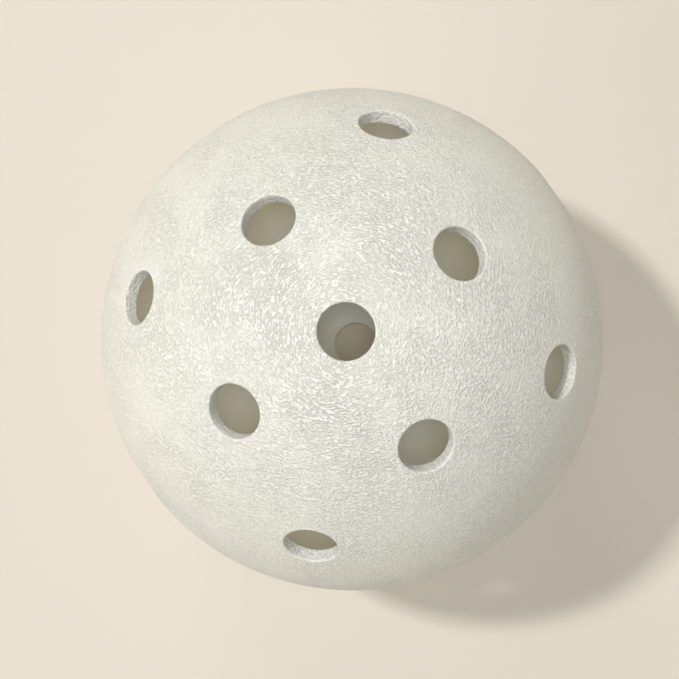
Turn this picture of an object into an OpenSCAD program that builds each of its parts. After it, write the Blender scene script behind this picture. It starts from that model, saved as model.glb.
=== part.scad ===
// Perforated hollow ball for a paddle game, moulded as two half shells that are
// welded together at the equator. Millimetres.
// Origin at the centre of the ball, +Z out through the pole hole of the upper half,
// the seam in the XY plane, and +X through a hole of the upper half's second ring.

/* [Ball] */
// Outside diameter of the ball
ball_d = 74; // [60:0.5:90]
// Wall thickness at the seam
seam_wall = 1.6; // [1.3:0.1:2.4]
// Wall thickness at the poles, where each half is gated
pole_wall = 2.2; // [1.7:0.1:3]

/* [Holes] */
// Diameter of every hole
hole_d = 7.3; // [5:0.1:9]
// Width of the bevel that breaks each hole's outer edge
hole_bevel = 0.25; // [0.1:0.05:0.6]
// Number of holes in each ring round a pole
ring_holes = 4; // [3:1:4]
// Angle from the pole to the first ring of holes
first_ring_angle = 28.5; // [24:0.5:32]
// Angle from the pole to the second ring of holes
second_ring_angle = 51; // [46:0.5:55]
// Height of plain wall between the seam and the edge of the third ring of holes
seam_land = 2.5; // [2:0.1:5]

/* [Weld joint] */
// Height of the spigot on the upper half
spigot_h = 1.2; // [0.8:0.1:1.4]
// Thickness of the spigot
spigot_t = 0.75; // [0.6:0.05:0.9]
// Clearance between the spigot and its socket, on the radius
spigot_gap = 0.05; // [0.02:0.01:0.1]
// Thickness of the fused ring between the spigot and the floor of the socket
weld_t = 0.3; // [0.2:0.05:0.4]
// Diameter of the bead that is squeezed out inside the ball
bead_d = 0.9; // [0.6:0.05:1.2]
// Width of the bevel on each half's outer edge, which leaves a fine line at the seam
seam_bevel = 0.15; // [0.05:0.05:0.3]

/* [Hidden] */
$fn = 180;

ball_r = ball_d / 2;
hole_r = hole_d / 2;
half_pitch = 180 / ring_holes;

// The cavity of a half is a sphere through both wall thicknesses, so its centre lies beyond the seam
seam_r = ball_r - seam_wall;
pole_r = ball_r - pole_wall;
cavity_drop = (seam_r * seam_r - pole_r * pole_r) / (2 * pole_r);
cavity_r = pole_r + cavity_drop;

// Height along a hole's own axis at which its bevel meets the outside of the ball
rim_r = hole_r + hole_bevel;
rim_h = sqrt(ball_r * ball_r - rim_r * rim_r);
third_ring_angle = 90 - asin((rim_r + seam_land) / ball_r);

// Spigot, socket and weld ring
spigot_r = seam_r + spigot_t;
socket_r = spigot_r + spigot_gap;
socket_h = spigot_h + weld_t;
bead_gap = 0.1;
bead_r = seam_r - bead_gap - bead_d / 2;

// How far a cutter runs past what it cuts
past = 2;

// One hole on the +Z axis: a drilled wall with a bevelled outer edge
module hole_cutter() {
    translate([0, 0, pole_r - past])
        cylinder(h = pole_wall + 2 * past, r = hole_r);
    translate([0, 0, rim_h - hole_bevel])
        cylinder(h = hole_bevel + past, r1 = hole_r, r2 = rim_r + past);
}

// A ring of holes at an angle from the pole, the first one at the given angle from +X
module hole_ring(angle, start) {
    for (i = [0 : ring_holes - 1])
        rotate([0, angle, start + i * 2 * half_pitch])
            hole_cutter();
}

// The holes of one half: the pole hole and three rings, each staggered from the next
module half_holes() {
    hole_cutter();
    hole_ring(first_ring_angle, half_pitch);
    hole_ring(second_ring_angle, 0);
    hole_ring(third_ring_angle, half_pitch);
}

// What takes the outer edge off a half at the seam
module seam_bevel_cutter() {
    rotate_extrude()
        polygon([
            [ball_r - seam_bevel - past, -past],
            [ball_r + past, -past],
            [ball_r + past, seam_bevel + past],
        ]);
}

// One half above the seam, with a flat edge
module plain_half() {
    difference() {
        sphere(r = ball_r);
        translate([0, 0, -cavity_drop])
            sphere(r = cavity_r);
        translate([-ball_d, -ball_d, -2 * ball_d])
            cube(2 * ball_d);
        seam_bevel_cutter();
        half_holes();
    }
}

// The half with the spigot, which stands down past the seam
module upper_half_shell() {
    color("ivory") {
        plain_half();
        difference() {
            translate([0, 0, -spigot_h])
                cylinder(h = spigot_h + seam_wall / 2, r = spigot_r);
            translate([0, 0, -spigot_h - past])
                cylinder(h = spigot_h + past, r = seam_r);
            translate([0, 0, -cavity_drop])
                sphere(r = cavity_r);
            half_holes();
        }
    }
}

// The half with the socket, turned a quarter pitch so that its holes stagger from the other half's
module lower_half_shell() {
    color("ivory")
        difference() {
            rotate([180, 0, 0])
                rotate([0, 0, half_pitch / 2])
                    plain_half();
            translate([0, 0, -socket_h])
                cylinder(h = socket_h + past, r = socket_r);
        }
}

// Plastic fused between the spigot and the socket, with the bead that it squeezes out inside
module weld_ring() {
    color("linen")
        translate([0, 0, -spigot_h - weld_t / 2])
            rotate_extrude() {
                translate([bead_r, -weld_t / 2])
                    square([spigot_r - bead_r, weld_t]);
                translate([bead_r, 0])
                    circle(d = bead_d, $fn = 48);
            }
}

upper_half_shell();
lower_half_shell();
weld_ring();
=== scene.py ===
# Perforated hollow ball for a paddle game: two moulded half shells, welded together at the
# equator. Metres, with the ball's centre at the origin and +Z out through the upper pole hole.
import math

import bmesh
import bpy
from mathutils import Matrix, Vector, noise


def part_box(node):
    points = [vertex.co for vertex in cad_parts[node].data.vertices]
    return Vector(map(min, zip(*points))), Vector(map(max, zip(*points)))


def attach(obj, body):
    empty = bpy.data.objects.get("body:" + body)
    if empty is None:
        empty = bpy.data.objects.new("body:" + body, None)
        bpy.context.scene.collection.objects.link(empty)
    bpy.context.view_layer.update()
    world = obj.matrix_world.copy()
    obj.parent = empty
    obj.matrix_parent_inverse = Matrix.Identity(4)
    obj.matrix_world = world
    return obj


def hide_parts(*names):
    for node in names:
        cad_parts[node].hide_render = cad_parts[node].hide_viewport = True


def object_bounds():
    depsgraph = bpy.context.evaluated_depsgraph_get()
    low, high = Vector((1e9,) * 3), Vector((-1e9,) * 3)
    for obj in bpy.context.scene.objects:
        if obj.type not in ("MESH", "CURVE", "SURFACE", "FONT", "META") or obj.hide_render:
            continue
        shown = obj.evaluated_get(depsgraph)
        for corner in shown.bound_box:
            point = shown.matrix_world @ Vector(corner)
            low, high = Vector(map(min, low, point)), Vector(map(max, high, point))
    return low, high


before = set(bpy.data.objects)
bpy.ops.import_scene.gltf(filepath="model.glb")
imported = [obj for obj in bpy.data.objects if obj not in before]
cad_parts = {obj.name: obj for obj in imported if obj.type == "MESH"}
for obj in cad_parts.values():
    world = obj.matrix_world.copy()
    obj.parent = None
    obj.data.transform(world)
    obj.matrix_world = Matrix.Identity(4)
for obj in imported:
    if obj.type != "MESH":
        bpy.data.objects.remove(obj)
cad_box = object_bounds()


# ---------------------------------------------------------------------------------------
# Upper half shell
# Injection-moulded polyethylene. The mould's cavity gives the outside a fine leathery
# grain that runs in circles round the pole; its core and pins leave the inside and the
# walls of the thirteen holes plain. A spigot along the edge goes into the other half.
# ---------------------------------------------------------------------------------------
ball_radius = min(-cad_box[0].x, -cad_box[0].y, cad_box[1].x, cad_box[1].y)
seam_radius = ball_radius - 0.0016
pole_radius = ball_radius - 0.0022
cavity_drop = (seam_radius**2 - pole_radius**2) / (2 * pole_radius)
cavity_radius = pole_radius + cavity_drop
cavity_centre = Vector((0, 0, -cavity_drop))

hole_radius = 0.00365
lip_radius = 0.00025
lip_skirt = 0.0005
inner_lip_radius = 0.00012
rim_radius = hole_radius + lip_radius
plain_rim_radius = rim_radius + 0.00008
collar_radius = rim_radius + 0.00016
inner_collar_radius = hole_radius + 0.0004
wall_end_clearance = 0.0004
hole_sides = 72
seam_land = 0.0025
first_ring_tilt = math.radians(28.5)
second_ring_tilt = math.radians(51)
third_ring_tilt = math.pi / 2 - math.asin((rim_radius + seam_land) / ball_radius)
half_pitch = math.pi / 4

seam_bevel = 0.00015
seam_strip = 0.0001
cavity_strip = 0.0003
spigot_depth = 0.0012
spigot_radius = seam_radius + 0.00075
seam_steps = 360

outside_fineness = 8
cavity_fineness = 6
sharp_edge = math.radians(50)

grain_depth = 0.00004
grain_fade = 0.0003
wrinkle_spacing = 0.0014
wrinkle_stretch = 1.8
wrinkle_gain = 1.5
pebble_spacing = 0.0009
wrinkle_share = 0.55


def arc(centre_radius, centre_height, radius, start, end, steps):
    """Points of a rounded corner in a section: (radius, height) pairs, angles in degrees."""
    points = []
    for step in range(steps + 1):
        angle = math.radians(start + (end - start) * step / steps)
        points.append(
            (
                centre_radius + radius * math.cos(angle),
                centre_height + radius * math.sin(angle),
            )
        )
    return points


def hole_axes():
    """The directions of one half's holes: the pole, then three staggered rings of four."""
    axes = [Vector((0, 0, 1))]
    for tilt, start in (
        (first_ring_tilt, half_pitch),
        (second_ring_tilt, 0),
        (third_ring_tilt, half_pitch),
    ):
        for step in range(4):
            turn = start + step * 2 * half_pitch
            flat = Vector((math.cos(turn), math.sin(turn), 0)) * math.sin(tilt)
            axes.append(flat + Vector((0, 0, math.cos(tilt))))
    return axes


def cavity_height(axis, offset):
    """How far along a hole's axis the cavity's wall lies, at an offset square to that axis."""
    along = axis.dot(cavity_centre)
    across = offset.length_squared - 2 * offset.dot(cavity_centre)
    rest = cavity_centre.length_squared - cavity_radius**2
    return along + math.sqrt(along**2 - across - rest)


def in_order(parts):
    """The parts without repeats and always in one order, so that each run cuts alike."""
    return list(dict.fromkeys(parts))


def add_dome(bm, centre, radius, fineness, seam_height, caps, slot):
    """A dome of small even triangles, cut level above the seam and with a round cap taken
    off at each hole. caps holds each cap's direction from the dome's centre and its radius.
    Returns the open edges: those at the seam, then those of each cap. Slivers that the cuts
    leave, shorter than half a triangle's side, are merged away."""
    before = set(bm.edges)
    made = bmesh.ops.create_icosphere(
        bm, subdivisions=fineness, radius=radius, matrix=Matrix.Translation(centre)
    )
    parts = list(made["verts"])
    for vert in made["verts"]:
        parts += vert.link_edges
        parts += vert.link_faces
    bmesh.ops.bisect_plane(
        bm,
        geom=in_order(parts),
        plane_co=(0, 0, seam_height),
        plane_no=(0, 0, 1),
        clear_inner=True,
    )
    dome = [edge for edge in bm.edges if edge not in before]
    for axis, cap_radius in caps:
        height = math.sqrt(radius**2 - cap_radius**2)
        parts = []
        for edge in dome:
            if edge.is_valid and (edge.verts[0].co - centre).dot(axis) > height - radius / 20:
                parts.append(edge)
                parts += edge.verts
                parts += edge.link_faces
        bmesh.ops.bisect_plane(
            bm,
            geom=in_order(parts),
            plane_co=centre + axis * height,
            plane_no=axis,
            clear_outer=True,
        )
    triangle_side = 1.2 * ball_radius / 2**fineness
    rims = [edge for edge in bm.edges if edge.is_boundary and edge not in before]
    bmesh.ops.remove_doubles(
        bm, verts=in_order(vert for edge in rims for vert in edge.verts), dist=triangle_side / 2
    )
    rims = [edge for edge in bm.edges if edge.is_boundary and edge not in before]
    for face in bm.faces:
        if face.edges[0] not in before:
            face.material_index = slot
    cuts = [(Vector((0, 0, 1)), seam_height - centre.z)]
    cuts += [(axis, math.sqrt(radius**2 - cap_radius**2)) for axis, cap_radius in caps]
    near_enough = 1e-5
    return [
        [e for e in rims if all(abs((v.co - centre).dot(axis) - h) < near_enough for v in e.verts)]
        for axis, h in cuts
    ]


def add_hole_lining(bm, axis, slot):
    """The lip, the wall and the inner edge of one hole. Returns its two open loops. A row of
    the section is a radius and either a height or, with None, how far it is above the
    cavity's wall."""
    rim_height = math.sqrt(ball_radius**2 - rim_radius**2)
    section = [(plain_rim_radius, math.sqrt(ball_radius**2 - plain_rim_radius**2), 0)]
    section += [
        (r, h, 0) for r, h in arc(rim_radius, rim_height - lip_radius, lip_radius, 90, 180, 5)
    ]
    skin_rows = 3
    wall_top = section[-1][1]
    section.append((hole_radius, wall_top - lip_skirt, 0))
    section.append((hole_radius, None, wall_end_clearance))
    section += [
        (r, None, h)
        for r, h in arc(
            hole_radius + inner_lip_radius, inner_lip_radius, inner_lip_radius, 180, 270, 3
        )
    ]
    turn = Vector((0, 0, 1)).rotation_difference(axis).to_matrix()
    ring = bmesh.ops.create_circle(
        bm, cap_ends=False, segments=hole_sides, radius=hole_radius, matrix=turn.to_4x4()
    )["verts"]
    edges = in_order(edge for vert in ring for edge in vert.link_edges)
    outer_loop = edges
    for row, (radius, height, clearance) in enumerate(section):
        if row:
            made = bmesh.ops.extrude_edge_only(bm, edges=edges)["geom"]
            ring = [part for part in made if isinstance(part, bmesh.types.BMVert)]
            for face in (part for part in made if isinstance(part, bmesh.types.BMFace)):
                face.material_index = slot if row > skin_rows else 0
            edges = [
                part
                for part in made
                if isinstance(part, bmesh.types.BMEdge) and all(v in ring for v in part.verts)
            ]
        for vert in ring:
            offset = (vert.co - axis * vert.co.dot(axis)).normalized() * radius
            reach = cavity_height(axis, offset) + clearance if height is None else height
            vert.co = offset + axis * reach
    return outer_loop, edges


def add_seam_edge(bm, section, slot):
    """The edge of a half, spun from its section. Returns its two open loops."""
    verts = [bm.verts.new((radius, 0, height)) for radius, height in section]
    edges = [bm.edges.new(pair) for pair in zip(verts, verts[1:])]
    before = set(bm.faces)
    first, last = section[0], section[-1]
    bmesh.ops.spin(
        bm,
        geom=verts + edges,
        cent=(0, 0, 0),
        axis=(0, 0, 1),
        angle=2 * math.pi,
        steps=seam_steps,
        use_merge=True,
    )
    spun = [face for face in bm.faces if face not in before]
    for face in spun:
        face.material_index = slot
    near_enough = 1e-6
    loops = []
    for radius, height in (first, last):
        loops.append(
            [
                edge
                for edge in in_order(e for face in spun for e in face.edges)
                if edge.is_boundary
                and all(
                    abs(v.co.z - height) < near_enough
                    and abs(v.co.xy.length - radius) < near_enough
                    for v in edge.verts
                )
            ]
        )
    return loops


def grain(place):
    """Depth of the moulded grain, 0 to 1: wrinkles stretched along circles round the pole."""
    reach = math.acos(min(1, place.z / place.length)) * ball_radius
    round_pole = Vector((place.x, place.y, reach * wrinkle_stretch))
    wrinkles = abs(noise.noise(round_pole / wrinkle_spacing)) * wrinkle_gain
    pebbles = 0.5 + 0.5 * noise.noise(place / pebble_spacing)
    return max(0, min(1, wrinkle_share * wrinkles + (1 - wrinkle_share) * pebbles))


def new_piece(name, bm):
    """Makes a finished bmesh an object of the scene."""
    mesh = bpy.data.meshes.new(name)
    bm.to_mesh(mesh)
    bm.free()
    piece = bpy.data.objects.new(name, mesh)
    bpy.context.scene.collection.objects.link(piece)
    return piece


def moulded_half(name, seam_section, inner_seam_height, turn):
    """The closed mesh of one half, with its seam's section and its place in the ball."""
    bm = bmesh.new()
    axes = hole_axes()
    seam_outer, seam_inner = add_seam_edge(bm, seam_section, 1)
    linings = [add_hole_lining(bm, axis, 1) for axis in axes]
    inner_caps = []
    for axis in axes:
        middle = axis * cavity_height(axis, Vector())
        inner_caps.append(((middle - cavity_centre).normalized(), inner_collar_radius))
    inner = add_dome(
        bm, cavity_centre, cavity_radius, cavity_fineness, inner_seam_height, inner_caps, 2
    )
    joined = bmesh.ops.bridge_loops(bm, edges=inner[0] + seam_inner)["faces"]
    for loop, (_, bottom) in zip(inner[1:], linings):
        joined += bmesh.ops.bridge_loops(bm, edges=loop + bottom)["faces"]
    for face in joined:
        face.material_index = 2

    outer_caps = [(axis, collar_radius) for axis in axes]
    outer_seam_height = seam_section[0][1] + seam_strip
    outer = add_dome(
        bm, Vector(), ball_radius, outside_fineness, outer_seam_height, outer_caps, 0
    )
    for vert in {v for face in bm.faces if face.material_index == 0 for v in face.verts}:
        if vert.is_boundary:
            continue
        near = max(vert.co.dot(axis) for axis in axes)
        from_rim = math.sqrt(max(0, ball_radius**2 - near**2)) - collar_radius
        fade = max(0, min(1, min(from_rim, vert.co.z - seam_bevel) / grain_fade))
        vert.co *= 1 - grain_depth * fade * grain(vert.co) / ball_radius
    bmesh.ops.bridge_loops(bm, edges=outer[0] + seam_outer)
    for loop, (top, _) in zip(outer[1:], linings):
        bmesh.ops.bridge_loops(bm, edges=loop + top)

    bmesh.ops.recalc_face_normals(bm, faces=bm.faces)
    bmesh.ops.transform(bm, matrix=turn, verts=bm.verts)
    for face in bm.faces:
        face.smooth = True
    for edge in bm.edges:
        edge.smooth = len(edge.link_faces) == 2 and edge.calc_face_angle() < sharp_edge
    return new_piece(name, bm)


def new_material(name, base, roughness, specular):
    """A material, its shader and the nodes and links of its tree."""
    material = bpy.data.materials.new(name)
    material.use_nodes = True
    nodes = material.node_tree.nodes
    shader = nodes["Principled BSDF"]
    shader.inputs["Base Color"].default_value = (*base, 1)
    shader.inputs["Roughness"].default_value = roughness
    shader.inputs["Specular IOR Level"].default_value = specular
    return material, shader, nodes, material.node_tree.links


def math_node(nodes, links, operation, first, second=0.0):
    """One sum on numbers or on other nodes' sockets. Returns its output."""
    node = nodes.new("ShaderNodeMath")
    node.operation = operation
    for socket, value in zip(node.inputs, (first, second)):
        if isinstance(value, bpy.types.NodeSocket):
            links.new(value, socket)
        else:
            socket.default_value = value
    return node.outputs["Value"]


def noise_node(nodes, links, place, size, detail, distortion=0.0):
    """A noise whose lumps are about a size across, in metres. Returns its value's output."""
    node = nodes.new("ShaderNodeTexNoise")
    links.new(place, node.inputs["Vector"])
    if isinstance(size, bpy.types.NodeSocket):
        links.new(math_node(nodes, links, "DIVIDE", 1.0, size), node.inputs["Scale"])
    else:
        node.inputs["Scale"].default_value = 1 / size
    node.inputs["Detail"].default_value = detail
    node.inputs["Distortion"].default_value = distortion
    return node.outputs["Fac"]


def range_node(nodes, links, value, low, high, to_low, to_high, smooth=False):
    """Spreads a value from one range to another and stops it at the ends."""
    node = nodes.new("ShaderNodeMapRange")
    if smooth:
        node.interpolation_type = "SMOOTHSTEP"
    links.new(value, node.inputs["Value"])
    for name, number in (
        ("From Min", low),
        ("From Max", high),
        ("To Min", to_low),
        ("To Max", to_high),
    ):
        node.inputs[name].default_value = number
    return node.outputs["Result"]


def mix_colours(nodes, links, share, low, high):
    """Blends two plain colours by a value. Returns the colour's output."""
    node = nodes.new("ShaderNodeMix")
    node.data_type = "RGBA"
    links.new(share, node.inputs["Factor"])
    node.inputs["A"].default_value = (*low, 1)
    node.inputs["B"].default_value = (*high, 1)
    return node.outputs["Result"]


def new_group(name, inputs, outputs):
    """An empty shader node group that is read at a place. inputs are (name, default) pairs
    and outputs are names."""
    group = bpy.data.node_groups.new(name, "ShaderNodeTree")
    group.interface.new_socket("Place", in_out="INPUT", socket_type="NodeSocketVector")
    for label, value in inputs:
        socket = group.interface.new_socket(
            label, in_out="INPUT", socket_type="NodeSocketFloat"
        )
        socket.default_value = value
    for label in outputs:
        group.interface.new_socket(label, in_out="OUTPUT", socket_type="NodeSocketFloat")
    start = group.nodes.new("NodeGroupInput")
    end = group.nodes.new("NodeGroupOutput")
    return group, group.nodes, group.links, start, end


# The mould's grain: short wrinkles that lie along circles round the pole, which give way to
# rounder pebbles towards the seam. Height, for gloss and for the tone's painted shade in creases
# and painted light on ridges, is stronger in some patches and weaker towards the seam. Relief is
# the same, and etched deepest on one side of the ball.
grain_group, nodes, links, start, end = new_group(
    "moulded_grain",
    [("Wrinkle Size", 0.0004), ("Pebble Size", 0.0003), ("Circling", 1.5)],
    ["Height", "Relief"],
)
place = start.outputs["Place"]
split = nodes.new("ShaderNodeSeparateXYZ")
links.new(place, split.inputs["Vector"])
length = nodes.new("ShaderNodeVectorMath")
length.operation = "LENGTH"
links.new(place, length.inputs[0])
height = math_node(nodes, links, "ABSOLUTE", split.outputs["Z"])
tilt = math_node(
    nodes, links, "ARCCOSINE", math_node(nodes, links, "DIVIDE", height, length.outputs["Value"])
)
easing = 0.8
eased = math_node(nodes, links, "SINE", math_node(nodes, links, "MULTIPLY", tilt, easing))
reach = math_node(nodes, links, "MULTIPLY", eased, ball_radius / easing)
reach = math_node(nodes, links, "MULTIPLY", reach, start.outputs["Circling"])

# Set apart from the other half's, so that the two don't mirror each other
half_side = math_node(nodes, links, "SIGN", split.outputs["Z"])
set_apart = math_node(nodes, links, "MULTIPLY", half_side, 0.2)
reach = math_node(nodes, links, "ADD", reach, set_apart)
circling = nodes.new("ShaderNodeCombineXYZ")
links.new(split.outputs["X"], circling.inputs["X"])
links.new(split.outputs["Y"], circling.inputs["Y"])
links.new(reach, circling.inputs["Z"])

layers = []
for read_at, size, low, high in (
    (circling.outputs["Vector"], "Wrinkle Size", 0.35, 0.6),
    (place, "Pebble Size", 0.36, 0.6),
):
    layer = noise_node(nodes, links, read_at, start.outputs[size], 2.4, 0.5)
    layers.append(range_node(nodes, links, layer, low, high, -0.6, 0.4, smooth=True))

# The share of pebbles grows with the tilt from the pole, and strays either way in patches
spread_size = 1 / 75
spread = noise_node(nodes, links, place, spread_size, 1)
spread = range_node(nodes, links, spread, 0.38, 0.62, -0.25, 0.3, smooth=True)
lean = range_node(nodes, links, tilt, 0.3, 1.0, 0.3, 0.8)
mixed = nodes.new("ShaderNodeMix")
links.new(math_node(nodes, links, "ADD", lean, spread), mixed.inputs["Factor"])
links.new(layers[0], mixed.inputs["A"])
links.new(layers[1], mixed.inputs["B"])

# How strong the grain is: in patches, by the tilt, and by how far round to the deep side
patch_size = 1 / 170
patch = noise_node(nodes, links, place, patch_size, 2)
patch = range_node(nodes, links, patch, 0.36, 0.6, 0.75, 1, smooth=True)
easier = range_node(nodes, links, tilt, 0.45, 1.1, 1.25, 0.7, smooth=True)
etched = nodes.new("ShaderNodeVectorMath")
etched.operation = "DOT_PRODUCT"
links.new(place, etched.inputs[0])
deep_side = Vector((-0.8, 0.5, 0.25)).normalized()
etched.inputs[1].default_value = deep_side / ball_radius
deeper = range_node(nodes, links, etched.outputs["Value"], 0.35, 0.8, 1, 1.4, smooth=True)
relief = math_node(nodes, links, "MULTIPLY", mixed.outputs["Result"], patch)
relief = math_node(nodes, links, "MULTIPLY", relief, easier)
links.new(math_node(nodes, links, "ADD", relief, 0.5), end.inputs["Height"])
links.new(math_node(nodes, links, "MULTIPLY", relief, deeper), end.inputs["Relief"])

# Slow changes of tone in the pigmented plastic, and the specks of its filler.
tone_group, nodes, links, start, end = new_group(
    "plastic_tone", [("Cloud Size", 0.009)], ["Cloud", "Speck"]
)
cloud = noise_node(nodes, links, start.outputs["Place"], start.outputs["Cloud Size"], 3)
links.new(range_node(nodes, links, cloud, 0.32, 0.68, 0, 1, smooth=True), end.inputs["Cloud"])
speck_size = 1 / 2600
speck = noise_node(nodes, links, start.outputs["Place"], speck_size, 1)
links.new(range_node(nodes, links, speck, 0.3, 0.72, 0, 1), end.inputs["Speck"])


def place_group(nodes, links, group, **values):
    """A group in a material, read at the piece's own coordinates, with its values set."""
    node = nodes.new("ShaderNodeGroup")
    node.node_tree = group
    coordinates = nodes.new("ShaderNodeTexCoord")
    links.new(coordinates.outputs["Object"], node.inputs["Place"])
    for label, value in values.items():
        node.inputs[label.replace("_", " ")].default_value = value
    return node.outputs


def add_bump(nodes, links, shader, height, distance):
    """Raises the surface by up to a distance where the height is 1."""
    bump = nodes.new("ShaderNodeBump")
    bump.inputs["Distance"].default_value = distance
    links.new(height, bump.inputs["Height"])
    links.new(bump.outputs["Normal"], shader.inputs["Normal"])


def let_light_through(shader, share, depth):
    """Thin polyethylene passes some light: the share that does, and how deep it goes."""
    shader.inputs["Subsurface Weight"].default_value = share
    shader.inputs["Subsurface Radius"].default_value = (1, 0.95, 0.8)
    shader.inputs["Subsurface Scale"].default_value = depth


# Outside: the grain, a little darker in its creases as painted shade and lighter on its ridges as
# painted light, and shinier on its ridges
skin, shader, nodes, links = new_material(
    "grained_polyethylene", (0.858, 0.84, 0.744), 0.6, 0.38
)
moulded = place_group(
    nodes, links, grain_group, Wrinkle_Size=0.00048, Pebble_Size=0.00036, Circling=2.2
)
tone = place_group(nodes, links, tone_group, Cloud_Size=0.009)
# Painted shade and light: the base colour is darker in the grain's creases and lighter on its
# ridges
painted_crease_shade_and_ridge_light = mix_colours(nodes, links, moulded["Height"], (0.775, 0.757, 0.668), (0.955, 0.94, 0.85))
clouded = nodes.new("ShaderNodeMix")
clouded.data_type = "RGBA"
clouded.blend_type = "MULTIPLY"
links.new(tone["Cloud"], clouded.inputs["Factor"])
links.new(painted_crease_shade_and_ridge_light, clouded.inputs["A"])
clouded.inputs["B"].default_value = (0.985, 0.985, 0.995, 1)
links.new(clouded.outputs["Result"], shader.inputs["Base Color"])
gloss = range_node(nodes, links, moulded["Height"], 0, 1, 0.68, 0.5)
links.new(gloss, shader.inputs["Roughness"])
add_bump(nodes, links, shader, moulded["Relief"], 0.00014)
let_light_through(shader, 0.12, 0.0008)

# Walls of the holes and the edge at the seam: drawn off steel pins, with a faint mottling, and
# darker than the outside as painted shade
hole_wall, shader, nodes, links = new_material(
    "hole_wall_polyethylene", (0.75, 0.74, 0.69), 0.5, 0.4
)
tone = place_group(nodes, links, tone_group, Cloud_Size=0.0005)
# Painted shade: both mottling colours are darker than the outside's plastic
mottled_with_painted_shade = mix_colours(nodes, links, tone["Cloud"], (0.82, 0.81, 0.755), (0.67, 0.66, 0.615))
links.new(mottled_with_painted_shade, shader.inputs["Base Color"])
links.new(range_node(nodes, links, tone["Speck"], 0, 1, 0.42, 0.58), shader.inputs["Roughness"])
add_bump(nodes, links, shader, tone["Speck"], 0.0001)
let_light_through(shader, 0.05, 0.0008)

# Inside: left by a polished core, so smooth and a little glossier, and paler than the outside as
# painted light in the dim hollow
cavity_face, shader, nodes, links = new_material(
    "cavity_polyethylene", (0.92, 0.91, 0.845), 0.4, 0.5
)
tone = place_group(nodes, links, tone_group, Cloud_Size=0.012)
# Painted light: both colours are paler than the outside's plastic, to lighten the dim hollow
clouded = mix_colours(nodes, links, tone["Cloud"], (0.945, 0.935, 0.875), (0.865, 0.85, 0.76))
links.new(clouded, shader.inputs["Base Color"])
links.new(range_node(nodes, links, tone["Cloud"], 0, 1, 0.36, 0.46), shader.inputs["Roughness"])
let_light_through(shader, 1.0, 0.004)

upper_section = arc(ball_radius - seam_bevel, seam_bevel, seam_bevel, 0, -90, 3)
upper_section += [
    (spigot_radius, 0),
    (spigot_radius, -spigot_depth),
    (seam_radius, -spigot_depth),
    (seam_radius, 0),
]
upper_half = moulded_half("upper_half", upper_section, cavity_strip, Matrix())
for material in (skin, hole_wall, cavity_face):
    upper_half.data.materials.append(material)
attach(upper_half, "root")
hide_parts("upper_half_shell")


# ---------------------------------------------------------------------------------------
# Lower half shell
# The second half, from the same kind of mould, with a socket where the other has its
# spigot. It is turned a sixteenth of a turn, so that its holes stagger from the other half's.
# ---------------------------------------------------------------------------------------
socket_radius = spigot_radius + 0.00005
socket_depth = spigot_depth + 0.0003
socket_floor_radius = math.sqrt(cavity_radius**2 - (socket_depth + cavity_drop) ** 2)

lower_section = arc(ball_radius - seam_bevel, seam_bevel, seam_bevel, 0, -90, 3)
lower_section += [
    (socket_radius, 0),
    (socket_radius, socket_depth),
    (socket_floor_radius, socket_depth),
]
lower_turn = Matrix.Rotation(math.pi, 4, "X") @ Matrix.Rotation(half_pitch / 2, 4, "Z")
lower_half = moulded_half("lower_half", lower_section, socket_depth + cavity_strip, lower_turn)
for material in (skin, hole_wall, cavity_face):
    lower_half.data.materials.append(material)
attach(lower_half, "root")
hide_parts("lower_half_shell")


# ---------------------------------------------------------------------------------------
# Weld ring
# The polyethylene that melts when the two halves are pressed hot together. It fills the
# gap at the end of the spigot and sets as an uneven bead round the inside of the seam.
# ---------------------------------------------------------------------------------------
weld_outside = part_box("weld_ring")[1].x
weld_top = -spigot_depth
weld_bottom = -socket_depth
weld_middle = (weld_top + weld_bottom) / 2
bead_radius = 0.00045
bead_centre_radius = weld_outside - 0.0013
bead_start = math.degrees(math.asin((weld_top - weld_middle) / bead_radius))
ripples_round = 9
ripples_up = 900
ripple_size, fine_ripple_size = 0.12, 0.05
free_bead = bead_centre_radius + bead_radius * 0.9

bead_section = arc(
    bead_centre_radius, weld_middle, bead_radius, bead_start, 360 - bead_start, 14
)
bead_section += [
    (weld_outside, weld_bottom),
    (weld_outside, weld_top),
    bead_section[0],
]
bm = bmesh.new()
add_seam_edge(bm, bead_section, 0)
bmesh.ops.remove_doubles(bm, verts=bm.verts, dist=0.000001)
for vert in bm.verts:
    outwards = vert.co.xy.normalized()
    middle = Vector((*(outwards * bead_centre_radius), weld_middle))
    if vert.co.xy.length < free_bead:
        rippled = Vector(
            (outwards.x * ripples_round, outwards.y * ripples_round, vert.co.z * ripples_up)
        )
        swell = 1 - ripple_size + ripple_size * noise.noise(rippled)
        swell += fine_ripple_size * noise.noise(rippled * 4)
        vert.co = middle.lerp(vert.co, min(1, swell))
bmesh.ops.recalc_face_normals(bm, faces=bm.faces)
for face in bm.faces:
    face.smooth = True
for edge in bm.edges:
    edge.smooth = edge.calc_face_angle() < math.radians(40)
weld_bead = new_piece("weld_bead", bm)

# The same plastic, glassier and a shade yellower where it has melted
melted, shader, nodes, links = new_material("melted_polyethylene", (0.86, 0.83, 0.72), 0.3, 0.5)
tone = place_group(nodes, links, tone_group, Cloud_Size=0.003)
scorched = mix_colours(nodes, links, tone["Cloud"], (0.88, 0.86, 0.76), (0.83, 0.79, 0.66))
links.new(scorched, shader.inputs["Base Color"])
links.new(range_node(nodes, links, tone["Speck"], 0, 1, 0.24, 0.4), shader.inputs["Roughness"])
add_bump(nodes, links, shader, tone["Cloud"], 0.00006)
let_light_through(shader, 0.5, 0.002)
weld_bead.data.materials.append(melted)
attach(weld_bead, "root")
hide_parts("weld_ring")


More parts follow.
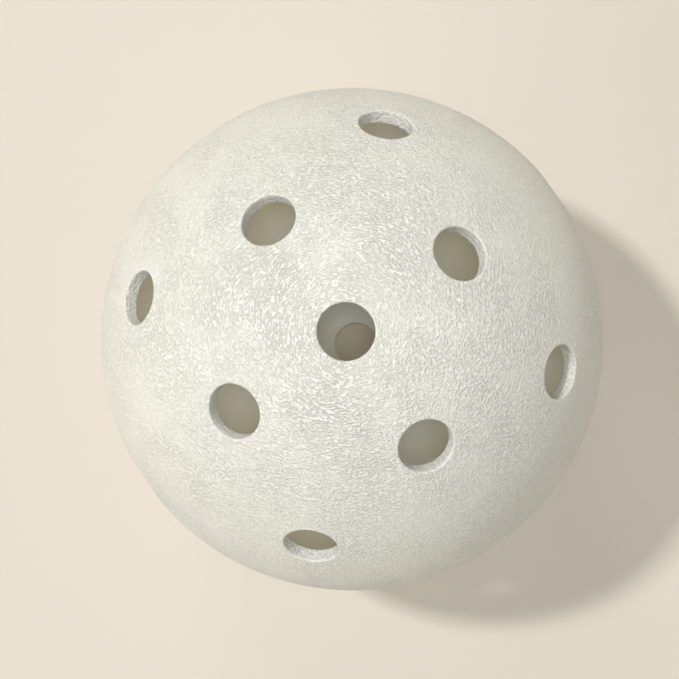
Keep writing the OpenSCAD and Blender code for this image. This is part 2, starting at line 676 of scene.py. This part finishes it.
# ---------------------------------------------------------------------------------------
# Floor, light and camera
# The ball rests on a plain pale floor, on the rim of its lower pole hole. One lamp casts the
# shadow, one beside the camera reaches in through the holes, and three weak ones fill in.
# ---------------------------------------------------------------------------------------
bm = bmesh.new()
bmesh.ops.create_grid(bm, x_segments=1, y_segments=1, size=4)
bmesh.ops.translate(bm, verts=bm.verts, vec=(0, 0, cad_box[0].z))
floor = new_piece("floor", bm)
floor_material, shader, nodes, links = new_material("pale_floor", (0.78, 0.71, 0.61), 0.7, 0.3)
floor.data.materials.append(floor_material)

# The camera sees the floor fade into the backdrop as it goes away from the ball, and from
# below it sees no floor at all
backdrop_colour = (0.8, 0.765, 0.7, 1)
fade_start, fade_end = 0.12, 0.6
centred = nodes.new("ShaderNodeTexCoord")
away = nodes.new("ShaderNodeVectorMath")
away.operation = "LENGTH"
links.new(centred.outputs["Object"], away.inputs[0])
faded = range_node(
    nodes, links, away.outputs["Value"], fade_start, fade_end, 0, 1, smooth=True
)
seen = nodes.new("ShaderNodeLightPath")
faded = math_node(nodes, links, "MULTIPLY", faded, seen.outputs["Is Camera Ray"])
haze = nodes.new("ShaderNodeEmission")
haze.inputs["Color"].default_value = backdrop_colour
hazed = nodes.new("ShaderNodeMixShader")
links.new(faded, hazed.inputs["Fac"])
links.new(shader.outputs["BSDF"], hazed.inputs[1])
links.new(haze.outputs["Emission"], hazed.inputs[2])
underside = nodes.new("ShaderNodeNewGeometry")
hidden = math_node(
    nodes, links, "MULTIPLY", underside.outputs["Backfacing"], seen.outputs["Is Camera Ray"]
)
clear = nodes.new("ShaderNodeBsdfTransparent")
one_sided = nodes.new("ShaderNodeMixShader")
links.new(hidden, one_sided.inputs["Fac"])
links.new(hazed.outputs["Shader"], one_sided.inputs[1])
links.new(clear.outputs["BSDF"], one_sided.inputs[2])
links.new(one_sided.outputs["Shader"], nodes["Material Output"].inputs["Surface"])


def soft_lamp(name, turn, height, distance, size, share):
    """A square lamp aimed at the ball, at a turn round it and a height in degrees. share is
    what it adds to a plain level of 1, at which a matt face turned to it shows its colour."""
    light = bpy.data.lights.new(name, "AREA")
    light.size = size
    light.energy = share * math.pi**2 * distance**2
    lamp = bpy.data.objects.new(name, light)
    turn, height = math.radians(turn), math.radians(height)
    flat = Vector((math.cos(turn), math.sin(turn), 0)) * math.cos(height)
    lamp.location = (flat + Vector((0, 0, math.sin(height)))) * distance
    lamp.rotation_euler = lamp.location.to_track_quat("Z", "Y").to_euler()
    bpy.context.scene.collection.objects.link(lamp)


soft_lamp("key_lamp", 164, 60, 1.6, 0.12, 0.47)
soft_lamp("camera_side_lamp", -42, 88, 0.32, 0.04, 0.3)
soft_lamp("left_lamp", 224, 20, 1.6, 1.0, 0.2)
soft_lamp("right_lamp", 5, 40, 1.6, 1.0, 0.05)
soft_lamp("back_lamp", 118, 30, 1.6, 0.5, 0.12)

world = bpy.data.worlds.new("studio")
bpy.context.scene.world = world
world.use_nodes = True
nodes, links = world.node_tree.nodes, world.node_tree.links
backdrop = nodes["Background"]
backdrop.inputs["Color"].default_value = backdrop_colour
sky_light = nodes.new("ShaderNodeBackground")
sky_light.inputs["Color"].default_value = (1, 1, 1, 1)
sky_light.inputs["Strength"].default_value = 0.24
seen = nodes.new("ShaderNodeLightPath")
either = math_node(
    nodes, links, "MAXIMUM", seen.outputs["Is Camera Ray"], seen.outputs["Is Glossy Ray"]
)
either = math_node(nodes, links, "MAXIMUM", either, seen.outputs["Is Transmission Ray"])
chosen = nodes.new("ShaderNodeMixShader")
links.new(either, chosen.inputs["Fac"])
links.new(sky_light.outputs["Background"], chosen.inputs[1])
links.new(backdrop.outputs["Background"], chosen.inputs[2])
links.new(chosen.outputs["Shader"], nodes["World Output"].inputs["Surface"])

camera = bpy.data.objects.new("camera", bpy.data.cameras.new("camera"))
camera.data.lens = 76.1
camera.data.sensor_width = 36
camera.data.clip_start, camera.data.clip_end = 0.01, 20
camera.location = (0.00524, -0.00476, 0.21448)
aim = Vector((-0.00184, -0.00037, 0))
roll = math.radians(10.08)
back = (camera.location - aim).normalized()
right = Vector((-math.sin(roll), math.cos(roll), 0)).cross(back).normalized()
camera.rotation_euler = Matrix((right, back.cross(right), back)).transposed().to_euler()
bpy.context.scene.collection.objects.link(camera)
bpy.context.scene.camera = camera
bpy.context.scene.view_settings.view_transform = "Standard"
bpy.context.scene.cycles.diffuse_bounces = 12
